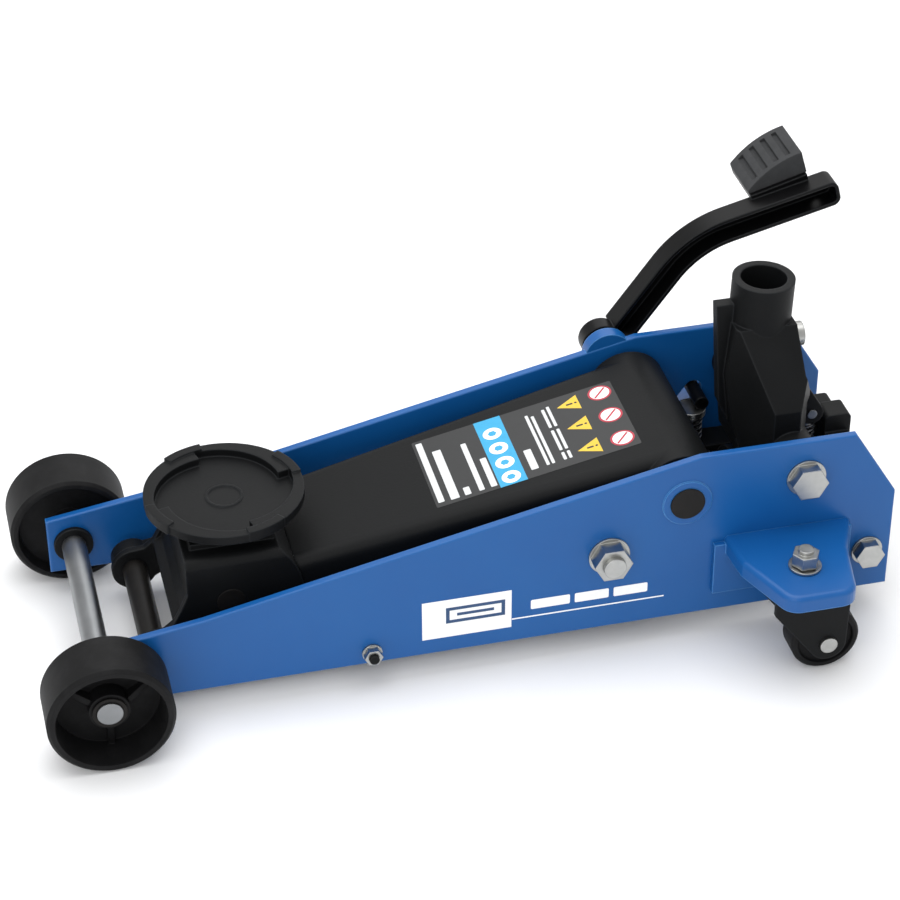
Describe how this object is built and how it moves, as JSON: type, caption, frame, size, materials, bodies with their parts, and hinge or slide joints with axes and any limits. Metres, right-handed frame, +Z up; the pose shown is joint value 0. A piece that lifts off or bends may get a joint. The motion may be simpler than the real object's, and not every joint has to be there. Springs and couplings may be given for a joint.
{
  "type": "hydraulic trolley jack",
  "caption": "Low-profile hydraulic trolley jack with a levelling saddle, pump handle socket, quick-lift foot pedal and swivelling rear casters.",
  "frame": {"origin": "on the floor, below the middle of the lowered jack's bounding box", "axes": "+X to the handle end, +Y to the pedal side, +Z up"},
  "size_m": [0.7038, 0.3674, 0.306],
  "materials": {
    "blue_enamel": "glossy enamel",
    "black_castings": "satin black enamel",
    "wheel_black": "matte",
    "bright_zinc": "zinc plate",
    "grey_steel": "turned",
    "ram_chrome": "polished",
    "bush_bronze": "plain",
    "spring_steel": "plain",
    "pedal_rubber": "matte"
  },
  "bodies": {
    "frame": {"side_plate_left": "blue_enamel", "side_plate_right": "blue_enamel", "front_axle": "grey_steel", "axle_collars": "black_castings", "wheel_spacers": "black_castings", "wheel_clips": "black_castings", "caster_bracket_left": "blue_enamel", "caster_bracket_right": "blue_enamel", "caster_races": "bright_zinc", "main_pivot_shaft": "grey_steel", "front_tie_bar": "black_castings", "front_tie_nuts": "bright_zinc", "link_bolts": "bright_zinc", "link_nuts": "bright_zinc", "block_bolts": "bright_zinc", "handle_bolts": "bright_zinc", "pump_block": "black_castings", "ram_cylinder": "black_castings", "ram_gland": "grey_steel", "oil_tank": "black_castings", "filler_plug": "bright_zinc", "hand_gland": "bright_zinc", "pedal_stud": "bright_zinc", "hand_spring": "spring_steel", "quick_spring": "spring_steel", "pedal_spring": "spring_steel", "return_springs": "spring_steel"},
    "front_wheel_left": {"front_wheel_left": "wheel_black"},
    "front_wheel_right": {"front_wheel_right": "wheel_black"},
    "caster_left": {"caster_fork_left": "black_castings", "caster_stem_left": "bright_zinc", "caster_axle_left": "bright_zinc"},
    "caster_right": {"caster_fork_right": "black_castings", "caster_stem_right": "bright_zinc", "caster_axle_right": "bright_zinc"},
    "caster_wheel_left": {"caster_wheel_left": "wheel_black"},
    "caster_wheel_right": {"caster_wheel_right": "wheel_black"},
    "lift_arm": {"lift_arm": "black_castings", "arm_bushes": "bush_bronze", "lever_pin": "black_castings"},
    "lever_roller": {"lever_roller": "grey_steel"},
    "carrier": {"saddle_carrier": "black_castings", "carrier_pin": "grey_steel", "front_link_shaft": "grey_steel", "link_clips": "black_castings"},
    "saddle": {"saddle": "black_castings"},
    "link_left": {"link_rod_left": "black_castings"},
    "link_right": {"link_rod_right": "black_castings"},
    "ram": {"ram": "ram_chrome"},
    "handle_socket": {"handle_socket": "black_castings", "roller_pin": "grey_steel"},
    "socket_roller": {"socket_roller": "grey_steel"},
    "lock_screw": {"handle_lock_screw": "bright_zinc"},
    "release_driver": {"release_driver": "grey_steel"},
    "release_valve": {"release_spindle": "grey_steel"},
    "hand_plunger": {"hand_plunger": "bright_zinc"},
    "pedal": {"pedal_lever": "black_castings", "pedal_pad": "pedal_rubber"},
    "quick_plunger": {"quick_plunger": "bright_zinc"}
  },
  "joints": [
    {"name": "lift", "type": "hinge", "parent": "frame", "child": "lift_arm", "pos_m": [0.16282, 0, 0.1338], "axis": [0, 1, 0], "range_deg": [0, 64.5], "deforming": ["return_springs"]},
    {"name": "saddle_level", "type": "hinge", "parent": "lift_arm", "child": "carrier", "pos_m": [-0.19528, 0, 0.0782], "axis": [0, 1, 0], "range_deg": [-64.5, 0]},
    {"name": "saddle_swivel", "type": "hinge", "parent": "carrier", "child": "saddle", "pos_m": [-0.18778, 0, 0.132], "axis": [0, 0, 1], "continuous": true},
    {"name": "link_swing_left", "type": "hinge", "parent": "frame", "child": "link_left", "pos_m": [0.10032, 0, 0.0936], "axis": [0, 1, 0], "range_deg": [0, 64.5]},
    {"name": "link_swing_right", "type": "hinge", "parent": "frame", "child": "link_right", "pos_m": [0.10032, 0, 0.0936], "axis": [0, 1, 0], "range_deg": [0, 64.5]},
    {"name": "ram_stroke", "type": "slide", "parent": "frame", "child": "ram", "axis": [-1, 0, 0], "range_m": [0, 0.0748]},
    {"name": "lever_roller_spin", "type": "hinge", "parent": "lift_arm", "child": "lever_roller", "pos_m": [0.20017, 0, 0.0746], "axis": [0, 1, 0], "continuous": true},
    {"name": "handle_swing", "type": "hinge", "parent": "frame", "child": "handle_socket", "pos_m": [0.26032, 0, 0.1413], "axis": [0, 1, 0], "range_deg": [0, 35]},
    {"name": "pump_stroke", "type": "slide", "parent": "frame", "child": "hand_plunger", "axis": [0, 0, -1], "range_m": [0, 0.019], "deforming": ["hand_spring"]},
    {"name": "socket_roller_spin", "type": "hinge", "parent": "handle_socket", "child": "socket_roller", "pos_m": [0.29032, 0, 0.1493], "axis": [0, 1, 0], "continuous": true},
    {"name": "lock_screw_travel", "type": "slide", "parent": "handle_socket", "child": "lock_screw", "axis": [1, 0, 0], "range_m": [0, 0.006]},
    {"name": "release_valve_turn", "type": "hinge", "parent": "frame", "child": "release_valve", "pos_m": [0.26032, 0, 0.1413], "axis": [0, 0, 1], "range_deg": [0, 180]},
    {"name": "release_driver_turn", "type": "hinge", "parent": "handle_socket", "child": "release_driver", "pos_m": [0.26032, 0, 0.1413], "axis": [-0.247, 0, 0.969], "range_deg": [0, 180]},
    {"name": "pedal_press", "type": "hinge", "parent": "frame", "child": "pedal", "pos_m": [0.15022, 0, 0.16], "axis": [0, 1, 0], "range_deg": [0, 9], "stiffness_Nm_per_rad": 2, "springref_deg": -45.84, "deforming": ["pedal_spring"]},
    {"name": "quick_pump_stroke", "type": "slide", "parent": "frame", "child": "quick_plunger", "axis": [0, 0, -1], "range_m": [0, 0.0115], "deforming": ["quick_spring"]},
    {"name": "front_wheel_spin_left", "type": "hinge", "parent": "frame", "child": "front_wheel_left", "pos_m": [-0.30278, -0.12, 0.04915], "axis": [0, 1, 0], "continuous": true},
    {"name": "caster_swivel_left", "type": "hinge", "parent": "frame", "child": "caster_left", "pos_m": [0.24362, -0.1457, 0.085], "axis": [0, 0, 1], "continuous": true},
    {"name": "caster_wheel_spin_left", "type": "hinge", "parent": "caster_left", "child": "caster_wheel_left", "pos_m": [0.26172, -0.1457, 0.028], "axis": [0, 1, 0], "continuous": true},
    {"name": "front_wheel_spin_right", "type": "hinge", "parent": "frame", "child": "front_wheel_right", "pos_m": [-0.30278, 0.12, 0.04915], "axis": [0, 1, 0], "continuous": true},
    {"name": "caster_swivel_right", "type": "hinge", "parent": "frame", "child": "caster_right", "pos_m": [0.24362, 0.1457, 0.085], "axis": [0, 0, 1], "continuous": true},
    {"name": "caster_wheel_spin_right", "type": "hinge", "parent": "caster_right", "child": "caster_wheel_right", "pos_m": [0.26172, 0.1457, 0.028], "axis": [0, 1, 0], "continuous": true}
  ],
  "couplings": [
    {"joint": "saddle_level", "follows": "lift", "ratio": -1},
    {"joint": "link_swing_left", "follows": "lift", "ratio": 1},
    {"joint": "link_swing_right", "follows": "lift", "ratio": 1},
    {"joint": "ram_stroke", "follows": "lift", "m_per_rad": 0.06636},
    {"joint": "pump_stroke", "follows": "handle_swing", "m_per_rad": 0.031},
    {"joint": "release_driver_turn", "follows": "release_valve_turn", "ratio": 1},
    {"joint": "quick_pump_stroke", "follows": "pedal_press", "m_per_rad": 0.072}
  ]
}
